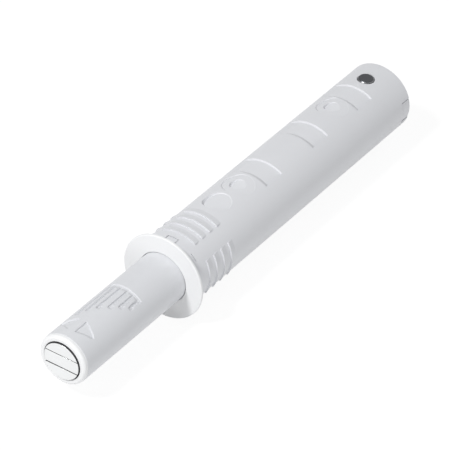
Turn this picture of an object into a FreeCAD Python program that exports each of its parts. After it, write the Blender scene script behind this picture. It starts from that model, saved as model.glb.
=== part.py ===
import FreeCAD, Part
import os
import re
import Sketcher

# A push to open catch that is drilled into the edge of a cabinet panel.
# Millimetres. The origin is the centre of the collar's back face, +Y runs into the
# panel along the catch's axis, the plunger and its magnet tip point to -Y, +Z is up.

V = FreeCAD.Vector
ALONG_Y = FreeCAD.Rotation(V(1, 0, 0), -90)

# Driving sizes: name, value in millimetres or degrees, what it is
SIZES = [
    ("housing_dia", 9.9, "outside of the housing, for a 10 mm hole"),
    ("housing_length", 50.4, "collar's back face to the rear end"),
    ("housing_wall", 0.75, "wall round the wide bore"),
    ("rear_edge", 0.2, "chamfer of the housing's rear edge"),
    ("guide_step", 0.59, "step from the wide bore to the narrow guide bore"),
    ("slide_gap", 0.07, "radial running clearance of the plunger"),
    ("seat_gap", 0.04, "clearance of pieces pushed into the housing"),
    ("barb_first", 2.9, "steep face of the first barb"),
    ("barb_pitch", 1.58, "barb to barb"),
    ("barb_count", 4, "barbs in each row"),
    ("barb_rows", 4, "rows round the housing"),
    ("barb_height", 0.18, "crest above the housing"),
    ("barb_crest", 0.12, "flat on the crest"),
    ("barb_ramp", 1.0, "length of a barb at its foot"),
    ("barb_root", 0.15, "depth of a barb's foot in the wall"),
    ("barb_span", 61, "arc of a row, degrees"),
    ("band_first", 19.25, "front of the first shallow band"),
    ("band_length", 2.9, "length of a band"),
    ("band_pitch", 10.75, "band to band"),
    ("band_count", 3, "bands"),
    ("band_depth", 0.2, "depth of a band on the top line"),
    ("band_span", 66, "arc over which a band fades out, degrees"),
    ("pin_inset", 4.1, "cross pin's axis from the rear end"),
    ("pin_dia", 2.25, "cross pin"),
    ("pin_proud", 0.1, "ends of the cross pin beyond the housing's sides"),
    ("pin_chamfer", 0.15, "chamfer of the pin ends"),
    ("pin_fit", 0.02, "radial clearance of the fixed pin holes"),
    ("pin_rim_dia", 2.52, "rim of the hole round the pin's end"),
    ("pin_rim_depth", 0.45, "depth of that rim"),
    ("key_length", 1.75, "plug key along the axis"),
    ("key_span", 34, "arc of a plug key, degrees"),
    ("key_gap", 0.15, "gap round a key in its notch"),
    ("key_sink", 0.08, "key below the housing's surface"),
    ("collar_overhang", 1.13, "collar's rim beyond the housing"),
    ("collar_thick", 0.4, "collar"),
    ("collar_recess", 0.12, "recess in the collar's back for the housing's chamfered end"),
    ("collar_front_edge", 0.15, "rounding of the collar's front edge"),
    ("collar_back_edge", 0.08, "chamfer of the collar's back edge"),
    ("collar_bore_edge", 0.04, "chamfer of the collar's mouth"),
    ("sleeve_length", 5.8, "sleeve inside the housing"),
    ("tongue_length", 1.8, "tongue of the collar, in a slot of the housing"),
    ("tongue_width", 1.45, "tongue"),
    ("tongue_gap", 0.1, "gap round a tongue"),
    ("tongue_sink", 0.09, "tongue below the housing's surface"),
    ("slit_start", 1.4, "front of the narrow slit beside the tongue"),
    ("slit_width", 0.14, "slit along the axis"),
    ("slit_span", 13, "arc of the slit, degrees"),
    ("slit_angle", 44, "middle of the slit from the top, degrees"),
    ("plug_recess", 0.15, "plug's rear face below the housing's end"),
    ("plug_length", 5.65, "plug"),
    ("dimple_dia", 4.4, "round dimple in the plug's rear face"),
    ("dimple_depth", 0.4, "dimple"),
    ("spring_offset", 0.9, "height of the spring's axis above the catch's axis"),
    ("coil_dia", 2.56, "mean diameter of the spring"),
    ("wire_dia", 0.4, "spring wire, measured across its corners"),
    ("wire_sides", 6, "sides that the round wire is made with"),
    ("coil_turns", 14, "turns"),
    ("spring_bore_dia", 3.4, "bore for the spring in the plunger"),
    ("spring_bore_depth", 10.8, "spring's seat in the plunger, from the plunger's rear end"),
    ("washer_thick", 0.4, "spring washers"),
    ("washer_gap", 0.08, "radial clearance of the washers"),
    ("rod_dia", 1.8, "guide rod"),
    ("rod_start", 1.6, "front end of the guide rod behind the front washer"),
    ("rod_bore_gap", 0.1, "radial clearance of the rod in the plunger"),
    ("rod_bore_room", 0.88, "bore in the plunger beyond the rod at full push"),
    ("rod_chamfer", 0.25, "guide rod's front end"),
    ("rod_head_dia", 3.8, "head of the guide rod, held by the cross pin"),
    ("buffer_thick", 0.8, "soft ring at the end of the guide bore"),
    ("plunger_reach", 20.5, "plunger's front end from the collar's back face"),
    ("plunger_edge", 0.06, "chamfer of the plunger's front edge"),
    ("flange_length", 3.4, "rear flange of the plunger"),
    ("stop_gap", 0.28, "plunger's rear end in front of the plug at full push"),
    ("flat_depth", 0.79, "flat under the plunger, measured from its round side"),
    ("flat_lead", 0.83, "flat in front of the track"),
    ("track_depth", 1.0, "heart-shaped track above the flat"),
    ("return_depth", 1.2, "deeper side on which the follower comes back"),
    ("over_push", 1.22, "push beyond the latched place, until the tip is level with the collar"),
    ("track_reach", 1.3, "sideways reach of the track"),
    ("track_gap", 0.12, "clearance of the follower pin in the track"),
    ("heel_wall", 0.98, "plunger wall behind the end of the track"),
    ("turn_depth", 0.65, "front wall of the track beyond the follower at full push"),
    ("follower_pin_dia", 0.8, "pin in the track"),
    ("follower_pin_gap", 0.15, "pin's end below the bottom of the track"),
    ("follower_chamfer", 0.08, "pin's end"),
    ("lever_thick", 0.7, "stamped lever"),
    ("lever_gap", 0.2, "lever below the plunger's flat"),
    ("lever_eye_dia", 3.6, "eye round the cross pin"),
    ("lever_eye_gap", 0.05, "running clearance on the cross pin"),
    ("lever_root_width", 1.8, "lever next to its eye"),
    ("lever_tip_width", 1.1, "lever at the follower pin"),
    ("lever_slot_side", 0.35, "room beside the eye in the plug"),
    ("leaf_thick", 0.15, "leaf spring under the lever"),
    ("leaf_width", 1.6, "leaf spring"),
    ("leaf_drop", 0.25, "ends of the leaf below the lever"),
    ("leaf_touch", 0.02, "bend of the leaf below the lever"),
    ("leaf_end_gap", 0.1, "room at each end of the leaf"),
    ("tip_thick", 0.62, "tip's rim in front of the plunger"),
    ("tip_step", 0.04, "tip's rim below the plunger's surface"),
    ("tip_round", 0.42, "rounding of the tip's front edge"),
    ("tip_inner_edge", 0.06, "chamfer of the tip's mouth"),
    ("cup_wall", 0.42, "plunger's wall round the tip's cup"),
    ("cup_length", 2.8, "cup behind the plunger's front end"),
    ("cup_floor", 1.0, "bottom of the cup"),
    ("turn_gap", 0.07, "radial running clearance of the cup"),
    ("tip_wall", 0.78, "tip's rim round the hole for the magnet"),
    ("disc_gap", 0.12, "groove round the magnet and pole plates"),
    ("magnet_thick", 1.97, "magnet between the pole plates"),
    ("magnet_proud", 0.05, "magnet in front of the tip's face"),
    ("pole_proud", 0.2, "pole plates in front of the tip's face"),
    ("pole_edge", 0.08, "chamfer of the pole plates' front edges"),
    ("nut_wall", 1.05, "brass outside the screw"),
    ("head_step", 0.4, "screw's head smaller than the magnet, all round"),
    ("screw_head_thick", 0.45, "screw's head"),
    ("screw_length", 9.0, "screw behind its head"),
    ("screw_chamfer", 0.2, "screw's end"),
    ("screw_room", 0.7, "room behind the screw's end"),
    ("thread_gap", 0.05, "radial clearance of the screw"),
    ("cup_room", 1.2, "counterbore behind the cup, for the detent ring"),
    ("nut_step", 0.82, "shoulder of the plunger in front of the nut"),
    ("nut_length", 2.6, "brass nut"),
    ("nut_start", 6.2, "nut's front end behind the plunger's front end"),
    ("nut_fit", 0.02, "radial clearance of the nut in the plunger"),
    ("nut_groove", 0.25, "depth of the groove round the nut"),
    ("detent_thick", 0.9, "detent ring"),
    ("detent_gap", 0.05, "detent ring behind the cup"),
    ("lug_width", 0.8, "lugs that keep the detent ring from turning"),
    ("lug_wall", 0.24, "plunger's wall outside the lugs' grooves"),
    ("lug_gap", 0.05, "clearance of the lugs"),
]

# Sizes worked out from the driving ones
HOUSING_R = "(housing_dia / 2)"
BORE_R = "(housing_dia / 2 - housing_wall)"
GUIDE_R = f"({BORE_R} - guide_step)"
PLUNGER_R = f"({GUIDE_R} - slide_gap)"
SEATED_R = f"({BORE_R} - seat_gap)"
COLLAR_R = f"({HOUSING_R} + collar_overhang)"
TRAVEL = "(plunger_reach + tip_thick - collar_thick)"
SEAT_END = "(sleeve_length + seat_gap)"
PIN_Y = "(housing_length - pin_inset)"
PIN_R = "(pin_dia / 2)"
PIN_HOLE_R = f"({PIN_R} + pin_fit)"
PIN_REACH = f"({HOUSING_R} + pin_proud)"
PLUG_REAR = "(housing_length - plug_recess)"
PLUG_FRONT = f"({PLUG_REAR} - plug_length)"
BAND_TOP = f"({HOUSING_R} - band_depth)"
BAND_CENTRE = f"(({HOUSING_R}^2 - {BAND_TOP}^2) / (2 * ({HOUSING_R} * cos(band_span / 2) - {BAND_TOP})))"
BAND_FLOOR_R = f"({BAND_TOP} - {BAND_CENTRE})"
ROD_R = "(rod_dia / 2)"
ROD_BORE_R = f"({ROD_R} + rod_bore_gap)"
ROD_REAR = f"({PIN_Y} + rod_head_dia / 2)"
PLUNGER_REAR = f"({PLUG_FRONT} - stop_gap - {TRAVEL})"
FLANGE_FRONT = f"({PLUNGER_REAR} - flange_length)"
GUIDE_END = f"({FLANGE_FRONT} - buffer_thick)"
SPRING_SEAT = f"({PLUNGER_REAR} - spring_bore_depth)"
SPRING_FRONT = f"({SPRING_SEAT} + washer_thick)"
SPRING_REAR = f"({PLUG_FRONT} - washer_thick)"
ROD_FRONT = f"({SPRING_FRONT} + rod_start)"
ROD_BORE_END = f"({ROD_FRONT} - {TRAVEL} - rod_bore_room)"
FLANGE_R = f"({BORE_R} - slide_gap)"
FLAT_Z = f"(flat_depth - {PLUNGER_R})"
FOLLOWER_R = "(follower_pin_dia / 2)"
TRACK_R = f"({FOLLOWER_R} + track_gap)"
FOLLOWER_Y = f"({PLUNGER_REAR} - heel_wall - {TRACK_R})"
TURN_Y = f"({FOLLOWER_Y} - {TRAVEL})"
LATCH_Y = f"({TURN_Y} + over_push)"
LEVER_TOP = f"({FLAT_Z} - lever_gap)"
LEVER_BOTTOM = f"({LEVER_TOP} - lever_thick)"
TIP_FACE = "(-plunger_reach - tip_thick)"
TIP_R = f"({PLUNGER_R} - tip_step)"
COUNTER_R = f"({PLUNGER_R} - cup_wall)"
CUP_R = f"({COUNTER_R} - turn_gap)"
MAGNET_HOLE_R = f"({TIP_R} - tip_wall)"
DISC_R = f"({MAGNET_HOLE_R} - disc_gap)"
NUT_R = f"({COUNTER_R} - nut_step)"
LUG_REACH = f"({PLUNGER_R} - lug_wall - lug_gap)"
CUP_BACK = "(cup_length - plunger_reach)"
CUP_FLOOR = f"({CUP_BACK} - cup_floor)"
MAGNET_BACK = f"({CUP_FLOOR} - screw_head_thick)"
NUT_FRONT = "(nut_start - plunger_reach)"
SCREW_R = f"({NUT_R} - nut_wall)"
SCREW_END = f"({CUP_FLOOR} + screw_length)"
BEYOND = "1"

doc = FreeCAD.newDocument("push_to_open_catch")
sheet = doc.addObject("Spreadsheet::Sheet", "Sizes")
PARTS = []


def fill_sheet():
    """Write every driving size with its name and meaning."""
    for row, (alias, number, meaning) in enumerate(SIZES, 1):
        sheet.set(f"A{row}", meaning)
        sheet.set(f"B{row}", str(number))
        sheet.setAlias(f"B{row}", alias)
    doc.recompute()


ALIASES = {alias for alias, number, meaning in SIZES}


def bound(text):
    """The same expression with each size read from the sheet."""
    return re.sub(r"[a-z_]+", lambda word: "Sizes." + word[0] if word[0] in ALIASES else word[0], text)


def value(text):
    """What an expression comes to now."""
    return float(sheet.evalExpression(bound(text)))


def new_body(name):
    """A body that becomes one piece, named as its file."""
    body = doc.addObject("PartDesign::Body", name)
    body.Label = name
    PARTS.append(body)
    return body


def origin_feature(body, role):
    """One of the body's own base planes or axes."""
    return next(item for item in body.Origin.OriginFeatures if item.Role == role)


def sketch_on(body, name, role, x="0", y="0", z="0", turn="0"):
    """An empty sketch on a base plane, moved by x, y, z and turned about its own X."""
    sketch = body.newObject("Sketcher::SketchObject", name)
    sketch.AttachmentSupport = (origin_feature(body, role), [""])
    sketch.MapMode = "FlatFace"
    sketch.AttachmentOffset = FreeCAD.Placement(V(), FreeCAD.Rotation(V(1, 0, 0), value(turn)))
    for axis, text in (("x", x), ("y", y), ("z", z)):
        sketch.setExpression(f"AttachmentOffset.Base.{axis}", bound(text))
    if turn != "0":
        sketch.setExpression("AttachmentOffset.Rotation.Angle", bound(turn))
    return sketch


def tie(sketch, kind, where, text):
    """Give one dimension of a sketch to the sheet."""
    index = sketch.addConstraint(Sketcher.Constraint(kind, *where, value(text)))
    sketch.setExpression(f"Constraints[{index}]", bound(text))


def tie_point(sketch, item, end, x, y):
    """Give a point's two coordinates to the sheet."""
    tie(sketch, "DistanceX", (-1, 1, item, end), x)
    tie(sketch, "DistanceY", (-1, 1, item, end), y)


def polygon(sketch, corners):
    """A closed outline of straight sides."""
    points = [V(value(x), value(y), 0) for x, y in corners]
    first = sketch.GeometryCount
    count = len(points)
    for index in range(count):
        sketch.addGeometry(Part.LineSegment(points[index], points[(index + 1) % count]), False)
    for index in range(count):
        following = first + (index + 1) % count
        sketch.addConstraint(Sketcher.Constraint("Coincident", first + index, 2, following, 1))
    for index, (x, y) in enumerate(corners):
        tie_point(sketch, first + index, 1, x, y)
    return sketch


def rectangle(sketch, left, right, low, high):
    """A rectangle between two pairs of coordinates."""
    return polygon(sketch, [(left, low), (right, low), (right, high), (left, high)])


def circle(sketch, x, y, radius):
    """A circle about x, y."""
    item = sketch.addGeometry(Part.Circle(V(value(x), value(y), 0), V(0, 0, 1), value(radius)), False)
    tie_point(sketch, item, 3, x, y)
    tie(sketch, "Radius", (item,), radius)
    return sketch


def slot(sketch, start, end, radius):
    """A straight slot with round ends about two points."""
    first = V(value(start[0]), value(start[1]), 0)
    last = V(value(end[0]), value(end[1]), 0)
    size = value(radius)
    along = (last - first).normalize()
    side = V(-along.y, along.x, 0) * size
    arcs = [Part.Arc(first + side, first - along * size, first - side),
            Part.Arc(last - side, last + along * size, last + side)]
    lines = [Part.LineSegment(first - side, last - side), Part.LineSegment(last + side, first + side)]
    for item in (arcs[0], lines[0], arcs[1], lines[1]):
        sketch.addGeometry(item, False)
    for joint in ((0, 2, 1, 1), (1, 2, 2, 1), (2, 2, 3, 1), (3, 2, 0, 1)):
        sketch.addConstraint(Sketcher.Constraint("Tangent", *joint))
    tie_point(sketch, 0, 3, *start)
    tie_point(sketch, 2, 3, *end)
    tie(sketch, "Radius", (0,), radius)
    sketch.addConstraint(Sketcher.Constraint("Equal", 0, 2))
    return sketch


def feature(body, kind, name, sketch):
    """A new feature of a body, made from a sketch."""
    item = body.newObject("PartDesign::" + kind, name)
    item.Profile = sketch
    return item


def revolve(body, name, sketch, axis="V_Axis", angle="360"):
    """Solid of revolution, half of it each side of the sketch where it isn't a full turn."""
    item = feature(body, "Revolution", name, sketch)
    item.ReferenceAxis = (sketch, [axis])
    item.Midplane = True
    item.setExpression("Angle", bound(angle))
    doc.recompute()
    return item


def pad(body, name, sketch, length, both=True, reverse=False):
    """Straight solid, both ways from the sketch or one way."""
    item = feature(body, "Pad", name, sketch)
    item.setExpression("Length", bound(length))
    item.Midplane = both
    item.Reversed = reverse
    doc.recompute()
    return item


def checked_cut(item, before):
    """A cut that takes nothing away is an error."""
    doc.recompute()
    if not item.Shape.Volume < before - 1e-6:
        raise RuntimeError(item.Name + " cuts nothing")
    return item


def pocket(body, name, sketch, length=None, both=False, reverse=False):
    """Straight cut, right through where no length is given."""
    before = body.Tip.Shape.Volume
    item = feature(body, "Pocket", name, sketch)
    item.Type = 0 if length else 1
    if length:
        item.setExpression("Length", bound(length))
    item.Midplane = both
    item.Reversed = reverse
    return checked_cut(item, before)


def groove(body, name, sketch, axis="V_Axis", angle="360"):
    """Cut of revolution, half of it each side of the sketch where it isn't a full turn."""
    before = body.Tip.Shape.Volume
    item = feature(body, "Groove", name, sketch)
    item.ReferenceAxis = (sketch, [axis])
    item.Midplane = True
    item.setExpression("Angle", bound(angle))
    return checked_cut(item, before)


def repeat(body, kind, name, original, count, **settings):
    """A pattern or mirror of one feature, which becomes the body's tip."""
    item = body.newObject("PartDesign::" + kind, name)
    item.Originals = [original]
    for key, setting in settings.items():
        setattr(item, key, setting)
    if count:
        item.setExpression("Occurrences", bound(count))
    body.Tip = item
    doc.recompute()
    return item


def repeat_round(body, name, original, count):
    """Copies round the catch's axis."""
    axis = (origin_feature(body, "Y_Axis"), [""])
    return repeat(body, "PolarPattern", name, original, count, Axis=axis, Angle=360)


def rim(shape, y, radius):
    """Names of the round edges of one radius at one place along the catch's axis."""
    names = []
    for index, edge in enumerate(shape.Edges, 1):
        level = abs(edge.BoundBox.YMin - y) < 1e-4 and abs(edge.BoundBox.YMax - y) < 1e-4
        if level and hasattr(edge.Curve, "Radius") and abs(edge.Curve.Radius - radius) < 1e-4:
            names.append(f"Edge{index}")
    return names


def dress_rim(body, kind, name, y, radius, size):
    """Break one circular edge of the body, with a Fillet or a Chamfer."""
    base = body.Tip
    item = body.newObject("PartDesign::" + kind, name)
    item.Base = (base, rim(base.Shape, value(y), value(radius)))
    item.setExpression("Radius" if kind == "Fillet" else "Size", bound(size))
    doc.recompute()
    return item


def cylinder(name, radius, height, y, z="0"):
    """Plain cylinder along the catch's axis, from y onwards."""
    item = doc.addObject("Part::Cylinder", name)
    item.Placement = FreeCAD.Placement(V(), ALONG_Y)
    item.setExpression("Radius", bound(radius))
    item.setExpression("Height", bound(height))
    item.setExpression("Placement.Base.y", bound(y))
    item.setExpression("Placement.Base.z", bound(z))
    return item


def ring(name, inner, outer, height, y, z="0"):
    """Flat ring along the catch's axis."""
    item = doc.addObject("Part::Cut", name)
    item.Base = cylinder(name + "_outside", outer, height, y, z)
    item.Tool = cylinder(name + "_hole", inner, height, y, z)
    item.Label = name
    PARTS.append(item)
    return item


def upright_pin(name, y, radius, low, high, chamfer):
    """Round pin along Z with chamfered ends."""
    body = new_body(name)
    sketch = sketch_on(body, name + "_profile", "YZ_Plane", x=y)
    polygon(sketch, [
        ("0", low), (f"{radius} - {chamfer}", low), (radius, f"{low} + {chamfer}"),
        (radius, f"{high} - {chamfer}"), (f"{radius} - {chamfer}", high), ("0", high)])
    revolve(body, name + "_turned", sketch)
    return body


def add_barbs(body):
    """Rows of sawtooth barbs, steep towards the collar so that the catch can't pull out."""
    sketch = sketch_on(body, "barb_teeth", "YZ_Plane")
    foot = f"{HOUSING_R} - barb_root"
    crest = f"{HOUSING_R} + barb_height"
    for index in range(int(value("barb_count"))):
        start = f"barb_first + {index} * barb_pitch"
        polygon(sketch, [
            (start, foot), (start, crest), (f"{start} + barb_crest", crest),
            (f"{start} + barb_ramp", HOUSING_R), (f"{start} + barb_ramp", foot)])
    row = revolve(body, "barb_row", sketch, "H_Axis", "barb_span")
    repeat_round(body, "barb_all_rows", row, "barb_rows")


def cut_bands(body):
    """Shallow bands across the top, whose floor is a flatter arc that fades out at the sides."""
    sketch = sketch_on(body, "band_outline", "XZ_Plane", z="-band_first")
    centre = V(0, value(BAND_CENTRE), 0)
    radius = value(BAND_FLOOR_R)
    reach = value(HOUSING_R)
    end_height = centre.y + (radius ** 2 - reach ** 2) ** 0.5
    top = f"{HOUSING_R} + {BEYOND}"
    left, right = V(-reach, end_height, 0), V(reach, end_height, 0)
    upper_right, upper_left = V(reach, value(top), 0), V(-reach, value(top), 0)
    sketch.addGeometry(Part.Arc(right, V(0, centre.y + radius, 0), left), False)
    for start, end in ((left, upper_left), (upper_left, upper_right), (upper_right, right)):
        sketch.addGeometry(Part.LineSegment(start, end), False)
    for joint in ((0, 2, 1, 1), (1, 2, 2, 1), (2, 2, 3, 1), (3, 2, 0, 1)):
        sketch.addConstraint(Sketcher.Constraint("Coincident", *joint))
    tie_point(sketch, 0, 3, "0", BAND_CENTRE)
    tie(sketch, "Radius", (0,), BAND_FLOOR_R)
    tie_point(sketch, 2, 1, f"-{HOUSING_R}", top)
    tie_point(sketch, 3, 1, HOUSING_R, top)
    tie(sketch, "DistanceX", (-1, 1, 1, 1), f"-{HOUSING_R}")
    tie(sketch, "DistanceX", (-1, 1, 3, 2), HOUSING_R)
    band = pocket(body, "band", sketch, "band_length")
    axis = (origin_feature(body, "Y_Axis"), [""])
    bands = repeat(body, "LinearPattern", "bands", band, "band_count", Direction=axis)
    bands.setExpression("Length", bound("(band_count - 1) * band_pitch"))
    doc.recompute()


def make_housing():
    """Moulded tube: wide bore behind, narrow guide bore, seat for the collar's sleeve."""
    body = new_body("housing")
    profile = sketch_on(body, "housing_profile", "XY_Plane")
    polygon(profile, [
        (f"{HOUSING_R} - collar_recess", "-collar_recess"), (HOUSING_R, "0"),
        (HOUSING_R, "housing_length"), (BORE_R, "housing_length"),
        (BORE_R, GUIDE_END), (GUIDE_R, GUIDE_END), (GUIDE_R, SEAT_END),
        (BORE_R, SEAT_END), (BORE_R, "-collar_recess")])
    revolve(body, "housing_tube", profile)
    dress_rim(body, "Chamfer", "housing_rear_edge", "housing_length", HOUSING_R, "rear_edge")
    cut_bands(body)
    add_barbs(body)

    hole = circle(sketch_on(body, "pin_hole_outline", "XY_Plane"), "0", PIN_Y, PIN_HOLE_R)
    pocket(body, "pin_hole", hole, both=True)
    floor = f"{HOUSING_R} - pin_rim_depth"
    above = f"{HOUSING_R} + {BEYOND}"
    cone = sketch_on(body, "pin_rim_outline", "YZ_Plane", x=PIN_Y)
    polygon(cone, [
        ("0", floor), (PIN_HOLE_R, floor), ("pin_rim_dia / 2", HOUSING_R),
        ("pin_rim_dia / 2", above), ("0", above)])
    upper = groove(body, "pin_rim", cone)
    repeat(body, "Mirrored", "pin_rims", upper, None,
           MirrorPlane=(origin_feature(body, "XY_Plane"), [""]))

    half = "tongue_width / 2 + tongue_gap"
    openings = sketch_on(body, "tongue_slot_outline", "XY_Plane")
    rectangle(openings, f"-({half})", half, f"-{BEYOND}", "tongue_length + tongue_gap")
    pocket(body, "tongue_slots", openings, both=True)

    slit = sketch_on(body, "slit_outline", "YZ_Plane", turn="slit_angle")
    rectangle(slit, "slit_start", "slit_start + slit_width", SEATED_R, f"{HOUSING_R} + {BEYOND}")
    one = groove(body, "slit", slit, "H_Axis", "slit_span")
    repeat_round(body, "slits", one, "2")

    notch = sketch_on(body, "key_notch_outline", "XY_Plane")
    rectangle(notch, SEATED_R, f"{HOUSING_R} + {BEYOND}",
              "housing_length - key_length - key_gap", f"housing_length + {BEYOND}")
    span = f"key_span + 2 * key_gap / {HOUSING_R} * 180 / pi"
    side = groove(body, "key_notch", notch, angle=span)
    repeat_round(body, "key_notches", side, "2")


def make_collar():
    """Flange ring with a guiding sleeve and two tongues that locate it in the housing."""
    body = new_body("collar")
    profile = sketch_on(body, "collar_profile", "XY_Plane")
    recess = f"{HOUSING_R} + seat_gap"
    polygon(profile, [
        ("0", "-collar_thick"), (COLLAR_R, "-collar_thick"), (COLLAR_R, "0"), (recess, "0"),
        (recess, "-collar_recess"), (SEATED_R, "-collar_recess"), (SEATED_R, "sleeve_length"),
        ("0", "sleeve_length")])
    revolve(body, "collar_blank", profile)
    dress_rim(body, "Fillet", "collar_front", "-collar_thick", COLLAR_R, "collar_front_edge")
    dress_rim(body, "Chamfer", "collar_back", "0", COLLAR_R, "collar_back_edge")
    tongues = sketch_on(body, "tongue_outline", "XY_Plane")
    rectangle(tongues, "-tongue_width / 2", "tongue_width / 2", "-collar_thick / 2", "tongue_length")
    pad(body, "tongues", tongues, f"2 * ({HOUSING_R} - tongue_sink)")
    bore = circle(sketch_on(body, "collar_bore_outline", "XZ_Plane"), "0", "0", GUIDE_R)
    pocket(body, "collar_bore", bore, both=True)
    dress_rim(body, "Chamfer", "collar_mouth", "-collar_thick", GUIDE_R, "collar_bore_edge")


def make_end_plug():
    """Plug with two keys, a seat for the guide rod's head and a slot for the lever."""
    body = new_body("end_plug")
    profile = sketch_on(body, "plug_profile", "XY_Plane")
    rectangle(profile, "0", SEATED_R, PLUG_FRONT, PLUG_REAR)
    revolve(body, "plug_blank", profile)
    key = sketch_on(body, "key_outline", "XY_Plane")
    rectangle(key, f"{SEATED_R} / 2", f"{HOUSING_R} - key_sink", "housing_length - key_length", PLUG_REAR)
    one = revolve(body, "key", key, angle="key_span")
    repeat_round(body, "keys", one, "2")
    room = "(lever_eye_dia / 2 + lever_slot_side)"
    space = sketch_on(body, "lever_slot_outline", "XY_Plane", z=f"{LEVER_TOP} + lever_gap")
    rectangle(space, f"-{room}", room, f"{PLUG_FRONT} - {BEYOND}", f"{PIN_Y} + {room}")
    pocket(body, "lever_slot", space)
    seat = sketch_on(body, "rod_seat_outline", "XZ_Plane", z=f"-{PLUG_FRONT}")
    circle(seat, "0", "spring_offset", "rod_head_dia / 2 + pin_fit")
    pocket(body, "rod_seat", seat, f"{ROD_REAR} - {PLUG_FRONT}")
    hole = circle(sketch_on(body, "plug_pin_outline", "XY_Plane"), "0", PIN_Y, PIN_HOLE_R)
    pocket(body, "plug_pin_hole", hole, both=True)
    dimple = sketch_on(body, "dimple_outline", "XZ_Plane", z=f"-{PLUG_REAR}")
    circle(dimple, "0", "0", "dimple_dia / 2")
    pocket(body, "dimple", dimple, "dimple_depth", reverse=True)


def make_guide_rod():
    """Turned rod on the spring's axis, its head crossed by the pin."""
    body = new_body("guide_rod")
    profile = sketch_on(body, "rod_profile", "XY_Plane", z="spring_offset")
    head = "rod_head_dia / 2"
    polygon(profile, [
        ("0", ROD_FRONT), (f"{ROD_R} - rod_chamfer", ROD_FRONT),
        (ROD_R, f"{ROD_FRONT} + rod_chamfer"), (ROD_R, PLUG_FRONT), (head, PLUG_FRONT),
        (head, ROD_REAR), ("0", ROD_REAR)])
    revolve(body, "rod_turned", profile)
    hole = circle(sketch_on(body, "rod_pin_outline", "XY_Plane"), "0", PIN_Y, PIN_HOLE_R)
    pocket(body, "rod_pin_hole", hole, both=True)


def make_main_spring():
    """Coil spring between the two washers."""
    body = new_body("main_spring")
    wire = sketch_on(body, "wire_section", "XY_Plane",
                     y=f"{SPRING_FRONT} + wire_dia / 2", z="spring_offset")
    corners = []
    for index in range(int(value("wire_sides"))):
        angle = f"({index} + 1 / 2) * 360 / wire_sides"
        corners.append((f"coil_dia / 2 + wire_dia / 2 * cos({angle})", f"wire_dia / 2 * sin({angle})"))
    polygon(wire, corners)
    coil = feature(body, "AdditiveHelix", "coil", wire)
    coil.ReferenceAxis = (wire, ["V_Axis"])
    coil.Mode = 0
    height = f"({SPRING_REAR} - {SPRING_FRONT} - wire_dia)"
    coil.setExpression("Height", bound(height))
    coil.setExpression("Pitch", bound(f"{height} / coil_turns"))
    doc.recompute()


def make_follower_spring():
    """Thin bent leaf under the lever, trapped between the buffer ring and the cross pin."""
    body = new_body("follower_spring")
    side = sketch_on(body, "leaf_side", "YZ_Plane")
    front = f"{FLANGE_FRONT} + leaf_end_gap"
    rear = f"{PIN_Y} - {PIN_R} - leaf_end_gap"
    middle = f"(({front} + {rear}) / 2)"
    low = f"{LEVER_BOTTOM} - leaf_drop"
    touch = f"{LEVER_BOTTOM} - leaf_touch"
    polygon(side, [
        (front, low), (middle, touch), (rear, low), (rear, f"{low} - leaf_thick"),
        (middle, f"{touch} - leaf_thick"), (front, f"{low} - leaf_thick")])
    pad(body, "leaf", side, "leaf_width")


def make_follower_lever():
    """Stamped lever: eye on the cross pin, tapered arm, round tip."""
    body = new_body("follower_lever")
    top = {"z": LEVER_TOP}
    arm = sketch_on(body, "arm_outline", "XY_Plane", **top)
    polygon(arm, [
        ("-lever_root_width / 2", PIN_Y), ("-lever_tip_width / 2", FOLLOWER_Y),
        ("lever_tip_width / 2", FOLLOWER_Y), ("lever_root_width / 2", PIN_Y)])
    pad(body, "arm", arm, "lever_thick", both=False, reverse=True)
    eye = circle(sketch_on(body, "eye_outline", "XY_Plane", **top), "0", PIN_Y, "lever_eye_dia / 2")
    pad(body, "eye", eye, "lever_thick", both=False, reverse=True)
    nose = circle(sketch_on(body, "nose_outline", "XY_Plane", **top), "0", FOLLOWER_Y, "lever_tip_width / 2")
    pad(body, "nose", nose, "lever_thick", both=False, reverse=True)
    hole = circle(sketch_on(body, "eye_hole_outline", "XY_Plane"), "0", PIN_Y, f"{PIN_R} + lever_eye_gap")
    pocket(body, "eye_hole", hole, both=True)
    seat = circle(sketch_on(body, "pin_seat_outline", "XY_Plane"), "0", FOLLOWER_Y, FOLLOWER_R)
    pocket(body, "pin_seat", seat, both=True)


def cut_track(body):
    """Heart-shaped track in the flat: a way in, a turn with the latching notch, a way back."""
    flat = {"z": FLAT_Z}
    start = ("0", FOLLOWER_Y)
    ways = (("way_in", "track_reach", "track_depth"), ("way_back", "-track_reach", "return_depth"))
    for name, side, depth in ways:
        channel = sketch_on(body, name + "_outline", "XY_Plane", **flat)
        slot(channel, start, (side, TURN_Y), TRACK_R)
        pocket(body, name, channel, depth, reverse=True)
    edge = f"(track_reach + {TRACK_R})"
    deepest = f"{TURN_Y} - turn_depth"
    corner = f"{TURN_Y} - turn_depth / 2"
    crest = f"{TURN_Y} - turn_depth / 4"
    back = f"{LATCH_Y} - {FOLLOWER_R} / 2"
    turn = sketch_on(body, "turn_outline", "XY_Plane", **flat)
    polygon(turn, [
        (f"-{edge}", back), (f"-{edge}", corner), ("-track_reach", deepest), ("0", crest),
        ("track_reach", deepest), (edge, corner), (edge, back)])
    pocket(body, "turn", turn, "track_depth", reverse=True)
    notch = circle(sketch_on(body, "notch_outline", "XY_Plane", **flat), "0", LATCH_Y, TRACK_R)
    pocket(body, "notch", notch, "track_depth", reverse=True)


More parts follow.
